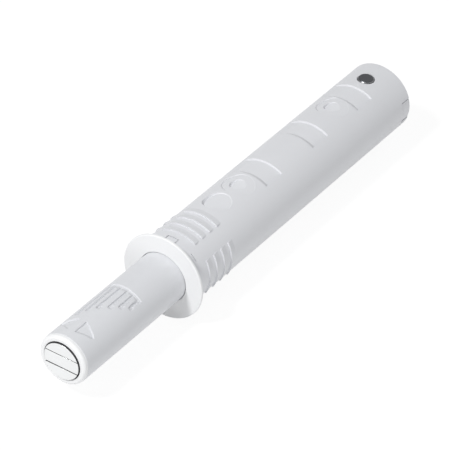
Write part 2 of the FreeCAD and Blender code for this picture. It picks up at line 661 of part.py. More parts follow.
def make_plunger():
    """Moulded rod: bores for the tip, nut, spring and rod, rear flange, flat with the track."""
    body = new_body("plunger")
    front = "-plunger_reach"
    counter_end = f"({CUP_BACK} + cup_room)"
    nut_end = f"({NUT_FRONT} + nut_length)"
    screw_hole = f"({SCREW_R} + thread_gap)"
    screw_end = f"({SCREW_END} + screw_room)"
    profile = sketch_on(body, "plunger_profile", "XY_Plane")
    polygon(profile, [
        (COUNTER_R, front), (PLUNGER_R, front), (PLUNGER_R, FLANGE_FRONT),
        (FLANGE_R, FLANGE_FRONT), (FLANGE_R, PLUNGER_REAR), ("0", PLUNGER_REAR),
        ("0", screw_end), (screw_hole, screw_end), (screw_hole, nut_end),
        (NUT_R, nut_end), (NUT_R, counter_end), (COUNTER_R, counter_end)])
    revolve(body, "plunger_rod", profile)
    dress_rim(body, "Chamfer", "plunger_front_edge", front, PLUNGER_R, "plunger_edge")
    side = sketch_on(body, "flat_outline", "YZ_Plane")
    flat_front = f"{TURN_Y} - turn_depth - flat_lead"
    rectangle(side, flat_front, f"{PLUNGER_REAR} + {BEYOND}", f"-{HOUSING_R}", FLAT_Z)
    pocket(body, "flat", side, both=True)
    cut_track(body)
    rear = {"z": f"-{PLUNGER_REAR}"}
    wide = sketch_on(body, "spring_bore_outline", "XZ_Plane", **rear)
    circle(wide, "0", "spring_offset", "spring_bore_dia / 2")
    pocket(body, "spring_bore", wide, "spring_bore_depth", reverse=True)
    narrow = sketch_on(body, "rod_bore_outline", "XZ_Plane", **rear)
    circle(narrow, "0", "spring_offset", ROD_BORE_R)
    pocket(body, "rod_bore", narrow, f"{PLUNGER_REAR} - {ROD_BORE_END}", reverse=True)
    grooves = sketch_on(body, "lug_groove_outline", "XY_Plane")
    half = "lug_width / 2 + lug_gap"
    rectangle(grooves, f"-({half})", half, f"{front} - {BEYOND}", counter_end)
    pocket(body, "lug_grooves", grooves, f"2 * ({LUG_REACH} + lug_gap)", both=True)


def make_adjuster_nut():
    """Brass insert with a groove round it that the plunger's plastic grips."""
    body = new_body("adjuster_nut")
    inner = f"{SCREW_R} + thread_gap"
    outer = f"{NUT_R} - nut_fit"
    end = f"{NUT_FRONT} + nut_length"
    third = "nut_length / 3"
    profile = sketch_on(body, "nut_profile", "XY_Plane")
    polygon(profile, [
        (inner, NUT_FRONT), (outer, NUT_FRONT), (outer, f"{NUT_FRONT} + {third}"),
        (f"{outer} - nut_groove", f"{NUT_FRONT} + {third} + nut_groove"),
        (f"{outer} - nut_groove", f"{end} - {third} - nut_groove"),
        (outer, f"{end} - {third}"), (outer, end), (inner, end)])
    revolve(body, "nut_turned", profile)


def make_detent_ring():
    """Ring with two lugs in the plunger's grooves, moves along but doesn't turn."""
    body = new_body("detent_ring")
    front = f"{CUP_BACK} + detent_gap"
    back = f"{CUP_BACK} + detent_gap + detent_thick"
    blank = rectangle(sketch_on(body, "detent_profile", "XY_Plane"), "0", CUP_R, front, back)
    revolve(body, "detent_blank", blank)
    lugs = sketch_on(body, "lug_outline", "XY_Plane")
    rectangle(lugs, "-lug_width / 2", "lug_width / 2", front, back)
    pad(body, "lugs", lugs, f"2 * {LUG_REACH}")
    hole = sketch_on(body, "detent_hole_outline", "XZ_Plane")
    circle(hole, "0", "0", f"{SCREW_R} + 2 * thread_gap")
    pocket(body, "detent_hole", hole, both=True)


def make_tip_head():
    """Turned cup with a rounded rim, hole for the magnet in front, screw hole behind."""
    body = new_body("tip_head")
    profile = sketch_on(body, "tip_profile", "XY_Plane")
    polygon(profile, [
        (SCREW_R, CUP_FLOOR), (MAGNET_HOLE_R, CUP_FLOOR), (MAGNET_HOLE_R, TIP_FACE),
        (TIP_R, TIP_FACE), (TIP_R, "-plunger_reach"), (CUP_R, "-plunger_reach"),
        (CUP_R, CUP_BACK), (SCREW_R, CUP_BACK)])
    revolve(body, "tip_turned", profile)
    dress_rim(body, "Fillet", "tip_front_edge", TIP_FACE, TIP_R, "tip_round")
    dress_rim(body, "Chamfer", "tip_mouth_edge", TIP_FACE, MAGNET_HOLE_R, "tip_inner_edge")


def make_adjuster_screw():
    """Screw with a flat head under the magnet."""
    body = new_body("adjuster_screw")
    head = f"{DISC_R} - head_step"
    profile = sketch_on(body, "screw_profile", "XY_Plane")
    polygon(profile, [
        ("0", MAGNET_BACK), (head, MAGNET_BACK), (head, CUP_FLOOR), (SCREW_R, CUP_FLOOR),
        (SCREW_R, f"{SCREW_END} - screw_chamfer"), (f"{SCREW_R} - screw_chamfer", SCREW_END),
        ("0", SCREW_END)])
    revolve(body, "screw_turned", profile)


def disc_slice(name, front, low, high):
    """Part of the tip's disc between two heights."""
    box = doc.addObject("Part::Box", name + "_slice")
    box.setExpression("Length", bound(f"2 * {DISC_R}"))
    box.setExpression("Width", bound(f"{MAGNET_BACK} - ({front})"))
    box.setExpression("Height", bound(f"{high} - ({low})"))
    box.setExpression("Placement.Base.x", bound(f"-{DISC_R}"))
    box.setExpression("Placement.Base.y", bound(front))
    box.setExpression("Placement.Base.z", bound(low))
    item = doc.addObject("Part::Common", name + "_blank")
    item.Base = cylinder(name + "_disc", DISC_R, f"{MAGNET_BACK} - ({front})", front)
    item.Tool = box
    doc.recompute()
    return item


def make_magnet():
    """Magnet bar with round ends between the pole plates."""
    item = disc_slice("magnet", f"{TIP_FACE} - magnet_proud", "-magnet_thick / 2", "magnet_thick / 2")
    item.Label = "magnet"
    PARTS.append(item)


def make_pole_plate(name, low, high):
    """Steel segment that stands a little proud of the tip, its front edges chamfered."""
    front = f"{TIP_FACE} - pole_proud"
    blank = disc_slice(name, front, low, high)
    level = value(front)
    item = doc.addObject("Part::Chamfer", name)
    item.Base = blank
    size = value("pole_edge")
    edges = enumerate(blank.Shape.Edges, 1)
    item.Edges = [(index, size, size) for index, edge in edges if abs(edge.BoundBox.YMax - level) < 1e-4]
    item.Label = name
    doc.recompute()
    PARTS.append(item)


def check_document():
    """Stop on any failed feature or broken piece."""
    doc.recompute()
    for item in doc.Objects:
        if "Invalid" in item.State or "Error" in item.State:
            raise RuntimeError(item.Name + " failed")
    for item in PARTS:
        if item.Shape.isNull() or not item.Shape.isValid() or len(item.Shape.Solids) != 1:
            raise RuntimeError(item.Label + " isn't one sound solid")


def export_parts():
    """One file for each piece, named after it."""
    os.makedirs("parts", exist_ok=True)
    for item in PARTS:
        item.Shape.exportStep(f"parts/{item.Label}.step")


fill_sheet()
make_housing()
make_collar()
make_end_plug()
upright_pin("cross_pin", PIN_Y, PIN_R, f"-{PIN_REACH}", PIN_REACH, "pin_chamfer")
make_guide_rod()
washer_hole = f"{ROD_R} + washer_gap"
washer_outside = "spring_bore_dia / 2 - washer_gap"
ring("rear_spring_washer", washer_hole, washer_outside, "washer_thick", SPRING_REAR, "spring_offset")
ring("front_spring_washer", washer_hole, washer_outside, "washer_thick", SPRING_SEAT, "spring_offset")
make_main_spring()
ring("buffer_ring", GUIDE_R, SEATED_R, "buffer_thick", GUIDE_END)
make_follower_spring()
make_follower_lever()
upright_pin("follower_pin", FOLLOWER_Y, FOLLOWER_R, LEVER_BOTTOM,
            f"{FLAT_Z} + track_depth - follower_pin_gap", "follower_chamfer")
make_plunger()
make_adjuster_nut()
make_detent_ring()
make_tip_head()
make_adjuster_screw()
make_magnet()
make_pole_plate("pole_plate_upper", "magnet_thick / 2", DISC_R)
make_pole_plate("pole_plate_lower", f"-{DISC_R}", "-magnet_thick / 2")
check_document()
export_parts()
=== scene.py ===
import math

import bmesh
import bpy
import numpy as np
from mathutils import Matrix, Vector


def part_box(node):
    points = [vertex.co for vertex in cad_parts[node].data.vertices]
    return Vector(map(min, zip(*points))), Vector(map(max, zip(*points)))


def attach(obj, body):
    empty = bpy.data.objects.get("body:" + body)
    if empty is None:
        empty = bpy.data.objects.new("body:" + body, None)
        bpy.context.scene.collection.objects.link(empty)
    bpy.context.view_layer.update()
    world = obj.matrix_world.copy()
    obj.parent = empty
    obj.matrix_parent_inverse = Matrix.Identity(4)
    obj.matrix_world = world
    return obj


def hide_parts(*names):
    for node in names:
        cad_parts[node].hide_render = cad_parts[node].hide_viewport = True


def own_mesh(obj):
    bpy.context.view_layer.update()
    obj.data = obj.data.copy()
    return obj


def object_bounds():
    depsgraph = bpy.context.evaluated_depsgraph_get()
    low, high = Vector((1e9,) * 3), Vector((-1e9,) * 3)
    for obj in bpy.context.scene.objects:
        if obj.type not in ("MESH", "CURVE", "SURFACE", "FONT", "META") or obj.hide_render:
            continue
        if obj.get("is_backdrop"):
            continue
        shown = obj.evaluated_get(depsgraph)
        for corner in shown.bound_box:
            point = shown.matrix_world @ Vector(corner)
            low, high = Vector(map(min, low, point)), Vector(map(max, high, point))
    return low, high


bl_info = {
    "name": "Push to open catch",
    "version": (1, 0, 0),
    "blender": (4, 5, 0),
    "location": "3D View > Sidebar > Catch",
    "description": "Moulding marks, wound spring, finishes and stage of a push to open catch",
    "category": "Object",
}

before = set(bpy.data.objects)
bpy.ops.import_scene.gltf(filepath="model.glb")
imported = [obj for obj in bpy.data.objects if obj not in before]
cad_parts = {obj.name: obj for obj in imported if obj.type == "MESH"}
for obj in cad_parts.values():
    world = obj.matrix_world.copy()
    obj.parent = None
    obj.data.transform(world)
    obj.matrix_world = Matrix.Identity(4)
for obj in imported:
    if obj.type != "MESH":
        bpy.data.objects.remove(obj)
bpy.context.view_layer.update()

MM = 0.001

# Radii of the round mouldings that carry the sunk marks, in mm.
HOUSING_RADIUS = 4.95
PLUNGER_RADIUS = 3.54
# How far a cutter stands out of the surface that it cuts, in mm, and its least depth.
CUTTER_ROOM = 0.4
SKIN = 0.004
# A round mark is deepest on this side, from the X axis towards the Y axis, and in its
# middle it has this share of that depth.
ROUND_DEEP_SIDE = math.radians(230)
ROUND_MIDDLE = 0.55
# Away from that side the wall leans by this share of its draft.
ROUND_STEEP = 0.35
# A face belongs to a turned surface when its corners face it within this angle, and to an
# end of the part when its normal has less than this across the part.
TURNED_LIMIT = math.radians(8)
END_FACE = 0.05
# Faces that meet at less than this angle are smooth together.
CREASE = math.radians(28)
# Limits in mm: a corner this near the round surface lies on it, a face longer than this
# along the part lies on its wall, points this near are one, and a cut is this exact.
ON_SURFACE = 2e-3
LONG_FACE = 1e-3
ONE_POINT = 1e-4
CUT_LIMIT = 1e-5
# Stands for a length of nothing, and for an area of nothing in square metres.
NO_LENGTH = 1e-9
NO_AREA = 1e-12

# The camera that the photograph was taken with: lens in mm on a 36 mm sensor, and the
# place of the collar's back centre in front of it, in mm to its right, up and ahead.
LENS = 240.26
SENSOR = 36.0
CAMERA_AZIMUTH = math.radians(35.033)
CAMERA_ELEVATION = math.radians(35.913)
ORIGIN_SEEN_AT = (-7.6628, -6.3574, 378.64)
# Nearest and farthest that it sees, in metres.
CLIP_NEAR = 0.02
CLIP_FAR = 10.0
# The catch lies turned about its own length by this angle.
CATCH_ROLL = math.radians(2.1)


# Sizes and colours that a user may change.


def length(name, description, default):
    """A property for a length in metres, given here in mm."""
    return bpy.props.FloatProperty(
        name=name, description=description, default=default * MM, min=0.0, precision=5,
        subtype="DISTANCE", unit="LENGTH")


def colour(name, description, default):
    """A property for a surface colour."""
    return bpy.props.FloatVectorProperty(
        name=name, description=description, default=default, min=0.0, max=1.0,
        subtype="COLOR", size=3)


def share(name, description, default, top=1.0):
    """A property for a plain factor."""
    return bpy.props.FloatProperty(
        name=name, description=description, default=default, min=0.0, max=top,
        subtype="FACTOR")


class CatchColours(bpy.types.PropertyGroup):
    """Colours of the finishes."""

    housing: colour("Housing", "Satin grey moulding of the housing", (0.733, 0.741, 0.765))
    plunger: colour("Plunger", "Smooth grey moulding of the plunger", (0.697, 0.707, 0.731))
    white: colour("White mouldings", "Collar, tip and detent ring", (0.860, 0.865, 0.872))
    nickel: colour("Nickel plate", "Magnet and its pole plates", (0.860, 0.870, 0.875))
    steel: colour("Steel", "Rod, washers, lever and screw", (0.560, 0.565, 0.575))
    spring: colour("Spring steel", "Coil spring and leaf", (0.420, 0.420, 0.425))
    dark_steel: colour("Dark steel", "Cross pin", (0.072, 0.074, 0.080))
    # A lighter colour painted on the cross pin's ends as a highlight.
    pin_end_highlight: colour("Worn edge", "Broken edges of the cross pin", (0.220, 0.224, 0.232))
    brass: colour("Brass", "Threaded nut", (0.800, 0.600, 0.270))
    # Dark colour painted in the gaps round the magnet and plates as their shade.
    gap_shade: colour("Cement", "Dark cement round the magnet", (0.030, 0.030, 0.033))
    rubber: colour("Rubber", "Buffer ring", (0.030, 0.030, 0.032))


class CatchMarks(bpy.types.PropertyGroup):
    """Sunk marks of the housing and the plunger."""

    ring_radius: length("Wide ring", "Radius of the shallow round mark", 2.1)
    ring_depth: length("Wide ring depth", "Depth of its deep side", 0.16)
    ring_draft: length("Wide ring draft", "Lean of its wall on the deep side", 0.20)
    dot_radius: length("Inner round", "Radius of the deeper round mark inside it", 1.0)
    dot_depth: length("Inner round depth", "Depth of its deep side", 0.48)
    disc_radius: length("Plain round", "Radius of the plain round mark", 1.75)
    disc_depth: length("Plain round depth", "Depth of its deep side", 0.42)
    round_draft: length("Round draft", "Lean of both deeper rounds on the deep side", 0.33)
    band_front: length("Band depth, front", "Depth of a finger band at its front wall", 0.30)
    band_rear: length("Band depth, rear", "Depth of a finger band at its rear wall", 0.21)
    band_draft: length("Band draft", "Lean of the front wall of a finger band", 0.64)
    groove_width: length("Groove width", "Width of the grooves on the plunger", 0.28)
    groove_depth: length("Groove depth", "Depth of the marks on the plunger", 0.19)
    groove_draft: length("Groove draft", "Lean of the walls of the marks on the plunger", 0.10)
    groove_front: length("Groove front", "Lean of the front walls of these marks", 0.42)


class CatchSpring(bpy.types.PropertyGroup):
    """The wound spring."""

    wire: length("Wire", "Diameter of the spring's wire", 0.38)
    turns: bpy.props.FloatProperty(
        name="Turns", description="Turns of the spring, its closed ends among them",
        default=14.0, min=4.0, max=40.0)
    keep: share("Pressed length", "Share of its length that the pressed spring keeps", 0.3316)


class CatchMagnet(bpy.types.PropertyGroup):
    """Magnet and pole plates."""

    upper_joint: length("Upper joint", "Joint between the bar and the upper plate", 0.13)
    lower_joint: length("Lower joint", "Joint between the bar and the lower plate", 0.12)
    bar_back: length("Bar back", "Face of the bar behind the faces of the plates", 0.03)
    edge: length("Broken edge", "Broken front edges of the bar and the plates", 0.02)
    # The groove holds a dark ring that is painted shade.
    groove: length("Groove", "Groove round the magnet, filled with cement", 0.12)


class CatchStage(bpy.types.PropertyGroup):
    """Floor, lamps and world."""

    floor: colour("Floor", "Colour of the floor", (0.80, 0.80, 0.80))
    key: share("Key lamp", "Level of the lamp at the upper left", 0.60, 4.0)
    side: share("Side lamp", "Level of the lamp at the right", 0.24, 4.0)
    fill: share("World", "Level of the light from all round", 0.41, 4.0)


# Shader writing.


class Number:
    """A number that changes over a surface: arithmetic on it adds Math nodes."""

    def __init__(self, nodes, socket):
        self.nodes = nodes
        self.socket = socket

    def worked(self, operation, *values):
        """What a Math node makes of the values."""
        node = self.nodes.node("ShaderNodeMath", {"operation": operation},
                               dict(enumerate(values)))
        return Number(self.nodes, node.outputs[0])

    def __add__(self, other):
        return self.worked("ADD", self, other)

    __radd__ = __add__

    def __sub__(self, other):
        return self.worked("SUBTRACT", self, other)

    def __rsub__(self, other):
        return self.worked("SUBTRACT", other, self)

    def __mul__(self, other):
        return self.worked("MULTIPLY", self, other)

    __rmul__ = __mul__

    def __abs__(self):
        return self.worked("ABSOLUTE", self)

    def larger(self, other):
        """The larger of the two."""
        return self.worked("MAXIMUM", self, other)

    def above(self, other):
        """1 where it is above the other, and 0 elsewhere."""
        return self.worked("GREATER_THAN", self, other)

    def swing(self, width):
        """Noise about 0.5 made to swing about 0 by that width."""
        return (self - 0.5) * width


class Nodes:
    """The nodes of a material or a world."""

    def __init__(self, owner):
        owner.use_nodes = True
        self.tree = owner.node_tree
        self.tree.nodes.clear()

    def node(self, kind, settings=None, sockets=None):
        """A node of that kind, with its settings made before its sockets are filled."""
        node = self.tree.nodes.new(kind)
        for key, setting in (settings or {}).items():
            setattr(node, key, setting)
        for key, given in (sockets or {}).items():
            given = given.socket if isinstance(given, Number) else given
            if isinstance(given, bpy.types.NodeSocket):
                self.tree.links.new(given, node.inputs[key])
            else:
                node.inputs[key].default_value = given
        return node

    def seen(self):
        """1 for what the camera sees, also in a mirror or through glass, and 0 for light."""
        rays = self.node("ShaderNodeLightPath").outputs
        camera, mirror, glass = (Number(self, rays[f"Is {kind} Ray"])
                                 for kind in ("Camera", "Glossy", "Transmission"))
        return camera.larger(mirror).larger(glass)

    def either(self, amount, first, second):
        """A shader between those of two nodes."""
        node = self.node("ShaderNodeMixShader", None,
                         {0: amount, 1: first.outputs[0], 2: second.outputs[0]})
        return node.outputs[0]


class Finish(Nodes):
    """One material and the nodes that make it."""

    def __init__(self, name):
        self.material = bpy.data.materials.new(name)
        super().__init__(self.material)

    def place(self, stretch=None):
        """Object coordinates, stretched along the axes."""
        coordinates = self.node("ShaderNodeTexCoord").outputs["Object"]
        if stretch is None:
            return coordinates
        return self.node("ShaderNodeVectorMath", {"operation": "MULTIPLY"},
                         {0: coordinates, 1: stretch}).outputs[0]

    def coordinate(self, axis):
        """The object coordinate along one axis, in metres."""
        split = self.node("ShaderNodeSeparateXYZ", None, {0: self.place()})
        return Number(self, split.outputs[axis])

    def noise(self, per_metre, detail=2.0, stretch=None):
        """Noise about 0.5, with that many features in a metre."""
        node = self.node("ShaderNodeTexNoise", {"noise_dimensions": "3D"},
                         {"Vector": self.place(stretch), "Scale": per_metre, "Detail": detail})
        return Number(self, node.outputs["Fac"])

    def mixed(self, amount, first, second):
        """A colour between two."""
        node = self.node("ShaderNodeMix", {"data_type": "RGBA"},
                         {0: amount, 6: first, 7: second})
        return node.outputs[2]

    def toned(self, amount, rgb, darker, lighter):
        """The colour, drifting between a darker and a lighter shade of itself."""
        return self.mixed(amount, shade(rgb, darker), shade(rgb, lighter))

    def bumped(self, height, depth):
        """A normal from a height between 0 and 1 that stands for a depth in metres."""
        node = self.node("ShaderNodeBump", None,
                         {"Height": height, "Distance": depth, "Strength": 1.0})
        return node.outputs["Normal"]

    def surface(self, sockets):
        """The Principled surface and the material's output."""
        shader = self.node("ShaderNodeBsdfPrincipled", None, sockets)
        self.node("ShaderNodeOutputMaterial", None, {"Surface": shader.outputs[0]})
        return self.material


def shade(rgb, factor):
    """The colour made lighter or darker, as a socket takes it."""
    return tuple(min(1.0, part * factor) for part in rgb) + (1.0,)


def plastic(name, rgb, roughness, grain_depth, drift, second=None):
    """Moulded plastic: fine grain, slow clouds of tone and faint flow lines along the part.
    A second shot is its colour and the y in metres behind which it lies."""
    finish = Finish(name)
    grain = finish.noise(per_metre=5200.0, detail=3.0)
    clouds = finish.noise(per_metre=210.0)
    flow = finish.noise(per_metre=900.0, stretch=(1.0, 0.12, 1.0))
    tone = clouds * 0.6 + flow * 0.4
    base = finish.toned(tone, rgb, darker=1.0 - drift, lighter=1.0 + drift)
    if second:
        other, start = second
        rear = finish.toned(tone, other, darker=1.0 - drift, lighter=1.0 + drift)
        base = finish.mixed(finish.coordinate("Y").above(start), base, rear)
    rough = clouds.swing(0.10) + grain.swing(0.06) + roughness
    normal = finish.bumped(grain * 0.7 + flow * 0.3, grain_depth)
    return finish.surface({"Base Color": base, "Roughness": rough, "IOR": 1.5,
                           "Normal": normal})


def worked_lines(finish, stretch, roughness):
    """Fine tool lines one way, with the tone and the roughness that drift with them."""
    lines = finish.noise(per_metre=3800.0, detail=3.0, stretch=stretch)
    clouds = finish.noise(per_metre=320.0)
    tone = lines * 0.5 + clouds * 0.5
    return lines, tone, lines.swing(0.16) + clouds.swing(0.10) + roughness


def metal(name, rgb, roughness, stretch, line_depth):
    """Worked metal: fine lines one way, tone and gloss that drift over it."""
    finish = Finish(name)
    lines, tone, rough = worked_lines(finish, stretch, roughness)
    base = finish.toned(tone, rgb, darker=0.90, lighter=1.08)
    return finish.surface({"Base Color": base, "Roughness": rough, "Metallic": 1.0,
                           "Normal": finish.bumped(lines, line_depth)})


def dark_steel_painted_ends(name, rgb, highlight_rgb, start):
    """Dark metal whose ends, from that height on, are painted lighter as the highlight that their
    chamfers catch.
    """
    finish = Finish(name)
    lines, tone, rough = worked_lines(finish, stretch=(1.0, 1.0, 0.1), roughness=0.33)
    # Painted highlight: from that height on, the ends take the lighter colour.
    ends = abs(finish.coordinate("Z")).above(start)
    dark = finish.toned(tone, rgb, darker=0.85, lighter=1.15)
    painted_highlight = finish.toned(lines, highlight_rgb, darker=0.8, lighter=1.2)
    return finish.surface({"Base Color": finish.mixed(ends, painted_highlight, dark), "Roughness": rough,
                           "Metallic": 1.0, "Normal": finish.bumped(lines, 1.5e-6)})


def rubber(name, rgb):
    """Soft rubber with a dusty bloom."""
    finish = Finish(name)
    bloom = finish.noise(per_metre=900.0, detail=3.0)
    base = finish.toned(bloom, rgb, darker=0.8, lighter=1.7)
    return finish.surface({"Base Color": base, "Roughness": bloom.swing(0.2) + 0.72,
                           "Normal": finish.bumped(bloom, 4e-6)})


# Mesh work.


def new_object(name, data):
    """An object of the mesh, lamp or camera in the scene."""
    made = bpy.data.objects.new(name, data)
    bpy.context.scene.collection.objects.link(made)
    return made


def mesh_from(name, corners, faces, triangles=False):
    """A closed mesh from corners and faces, its normals outwards."""
    mesh = bpy.data.meshes.new(name)
    mesh.from_pydata([tuple(c) for c in corners], [], faces)
    work = bmesh.new()
    work.from_mesh(mesh)
    bmesh.ops.recalc_face_normals(work, faces=work.faces)
    if triangles:
        bmesh.ops.triangulate(work, faces=work.faces)
    work.to_mesh(mesh)
    work.free()
    return mesh


def tube_faces(count, rows, closed=False):
    """Faces between rows of that many corners each. A closed tube's last row meets its
    first, and an open one gets an end face at both."""
    faces = [] if closed else [tuple(range(count))]
    for row in range(rows if closed else rows - 1):
        near, far = count * row, count * ((row + 1) % rows)
        for side in range(count):
            turn = (side + 1) % count
            faces.append((near + side, near + turn, far + turn, far + side))
    if not closed:
        faces.append(tuple(range(count * (rows - 1), count * rows)))
    return faces


def sunk_strip(name, radius, rows, front_draft, rear_draft):
    """A cutter that follows the round surface: rows of (angle, low y, high y, depth at the
    low y, depth at the high y) in radians and mm. Its walls lean out by the drafts."""
    above = radius + CUTTER_ROOM
    corners = []
    for angle, low, high, front_depth, rear_depth in rows:
        wide_low, wide_high = low - front_draft, high + rear_draft
        for reach, y in ((radius - front_depth, low), (radius - rear_depth, high),
                         (radius, wide_high), (above, wide_high), (above, wide_low),
                         (radius, wide_low)):
            corners.append((reach * math.sin(angle), y, reach * math.cos(angle)))
    faces = tube_faces(len(corners) // len(rows), len(rows))
    return mesh_from(name, corners, faces, triangles=True)


def tapered(rows, depth, lean):
    """Rows of (angle, low, high) given the depth, with one more at each end that rises to
    the surface over the lean, in radians."""
    (first, first_low, first_high), (last, last_low, last_high) = rows[0], rows[-1]
    side = math.copysign(lean, last - first)
    return ([(first - side, first_low, first_high, SKIN, SKIN)]
            + [row + (depth, depth) for row in rows]
            + [(last + side, last_low, last_high, SKIN, SKIN)])


def sunk_round(name, radius, depth, centre_y, mark_radius, draft):
    """A round cutter on top of the round surface. Its floor follows that surface and tips
    towards the deep side, and its wall leans out by the draft."""
    around, rings = 72, 5
    corners = [(0.0, centre_y, radius - depth * ROUND_MIDDLE)]
    for ring in range(1, rings + 2):
        wall = ring > rings
        for step in range(around):
            turn = 2 * math.pi * step / around
            deep_side = math.cos(turn - ROUND_DEEP_SIDE)
            lean = draft * (ROUND_STEEP + (1 - ROUND_STEEP) * max(0.0, deep_side) ** 2)
            reach = mark_radius + lean if wall else mark_radius * ring / rings
            x = reach * math.cos(turn)
            tip = (1 - ROUND_MIDDLE) * deep_side * ring / rings
            sunk = 0.0 if wall else max(SKIN, depth * (ROUND_MIDDLE + tip))
            corners.append((x, centre_y + reach * math.sin(turn),
                            math.sqrt((radius - sunk) ** 2 - x ** 2)))
    rim = 1 + around * rings
    lid = len(corners)
    for x, y, _ in corners[rim:rim + around]:
        corners.append((x, y, radius + CUTTER_ROOM))
    faces = [tuple(lid + step for step in range(around))]
    for step in range(around):
        turn = (step + 1) % around
        faces.append((0, 1 + step, 1 + turn))
        faces.append((rim + step, rim + turn, lid + turn, lid + step))
        for ring in range(rings):
            inner, outer = 1 + around * ring, 1 + around * (ring + 1)
            faces.append((inner + step, outer + step, outer + turn, inner + turn))
    return mesh_from(name, corners, faces, triangles=True)


def angles(start, end, step=3.0):
    """Angles in radians from start to end, given in degrees, about a step apart."""
    count = max(2, int(abs(end - start) / step) + 1)
    return [math.radians(a) for a in np.linspace(start, end, count)]


def fine_round(work, radius):
    """Divides the faces on the round surface at even angles, so that they follow it: the
    surface is unrolled flat, cut along its length and rolled up again. The faces across
    its back have their turn after the others."""
    for side in (1, -1):
        faces = []
        for face in work.faces:
            off_surface = max(abs(math.hypot(v.co.x, v.co.z) - radius) for v in face.verts)
            along = max(v.co.y for v in face.verts) - min(v.co.y for v in face.verts)
            turns = [math.atan2(v.co.x, v.co.z) for v in face.verts]
            across_back = max(turns) - min(turns) > math.pi
            if off_surface < ON_SURFACE and along > LONG_FACE and across_back == (side < 0):
                faces.append(face)
        held = {v: v.co.copy() for face in faces for v in face.verts}
        for vertex, place in held.items():
            vertex.co = (radius * math.atan2(place.x * side, place.z * side), place.y, 0.0)
        region = list({e for face in faces for e in face.edges}) + list(held) + faces
        for turn in angles(-180.0, 180.0):
            region = bmesh.ops.bisect_plane(work, geom=region, plane_co=(radius * turn, 0, 0),
                                            plane_no=(1, 0, 0), dist=CUT_LIMIT)["geom"]
        for vertex in [part for part in region if isinstance(part, bmesh.types.BMVert)]:
            turn = vertex.co.x / radius
            vertex.co = held.get(vertex, (side * radius * math.sin(turn), vertex.co.y,
                                          side * radius * math.cos(turn)))
    bmesh.ops.triangulate(work, faces=work.faces)


def marked_copy(node, name, radius, cutters):
    """A copy of the CAD node's mesh, in mm, with the cutters taken out of it."""
    work = bmesh.new()
    work.from_mesh(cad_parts[node].data)
    bmesh.ops.scale(work, verts=work.verts, vec=(1 / MM,) * 3)
    bmesh.ops.remove_doubles(work, verts=work.verts, dist=ONE_POINT)
    fine_round(work, radius)
    mesh = bpy.data.meshes.new(name)
    work.to_mesh(mesh)
    work.free()
    # The packed normals don't fit the divided faces.
    if mesh.attributes.get("custom_normal"):
        mesh.attributes.remove(mesh.attributes["custom_normal"])
    piece = new_object(name, mesh)
    tools = []
    for number, cutter in enumerate(cutters):
        tool = new_object(f"{name}_cutter_{number}", cutter)
        tools.append(tool)
        cut = piece.modifiers.new(f"cut_{number}", "BOOLEAN")
        cut.operation = "DIFFERENCE"
        cut.solver = "MANIFOLD"
        cut.object = tool
    bpy.context.view_layer.update()
    cut_mesh = bpy.data.meshes.new_from_object(
        piece.evaluated_get(bpy.context.evaluated_depsgraph_get()))
    piece.modifiers.clear()
    piece.data = cut_mesh
    cut_mesh.name = name
    for tool in tools:
        bpy.data.objects.remove(tool)
    bpy.data.meshes.remove(mesh)
    return piece


def exact_normals(mesh):
    """Normals of a part turned about the Y axis: exact on its round surfaces, and
    averaged elsewhere over faces that meet at less than the crease angle."""
    points = np.empty(len(mesh.vertices) * 3)
    mesh.vertices.foreach_get("co", points)
    points = points.reshape(-1, 3)
    outward = points * (1.0, 0.0, 1.0)
    outward /= np.maximum(np.linalg.norm(outward, axis=1, keepdims=True), NO_LENGTH)
    limit = math.cos(TURNED_LIMIT)
    soft = math.cos(CREASE)
    normals = np.zeros((len(mesh.loops), 3))
    turned = {}
    around = [[] for _ in mesh.vertices]
    for face in mesh.polygons:
        normal = np.array(face.normal)
        flat = math.hypot(normal[0], normal[2])
        if flat > END_FACE:
            facing = (outward[list(face.vertices)] * normal).sum(axis=1) / flat
            if facing.min() > limit or facing.max() < -limit:
                turned[face.index] = math.copysign(flat, facing[0])
        for vertex in face.vertices:
            around[vertex].append((face.index, normal, face.area))
    for face in mesh.polygons:
        normal = np.array(face.normal)
        for loop in face.loop_indices:
            vertex = mesh.loops[loop].vertex_index
            if face.index in turned:
                exact = outward[vertex] * turned[face.index]
                exact[1] = normal[1]
            else:
                near = (n * area for index, n, area in around[vertex]
                        if index not in turned and float(n @ normal) > soft)
                exact = sum(near, NO_AREA * normal)
            normals[loop] = exact / np.linalg.norm(exact)
    mesh.polygons.foreach_set("use_smooth", [True] * len(mesh.polygons))
    mesh.normals_split_custom_set([tuple(n) for n in normals])


def finish_marked(piece, node, body, material):
    """Brings a cut copy back to metres and lets it stand for its CAD node."""
    piece.data.transform(Matrix.Scale(MM, 4))
    piece.data.materials.clear()
    piece.data.materials.append(material)
    exact_normals(piece.data)
    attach(piece, body)
    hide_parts(node)


def dress(nodes, material):
    """Gives the CAD nodes a finish."""
    for node in nodes:
        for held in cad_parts[node].material_slots:
            held.material = material


# Operators.


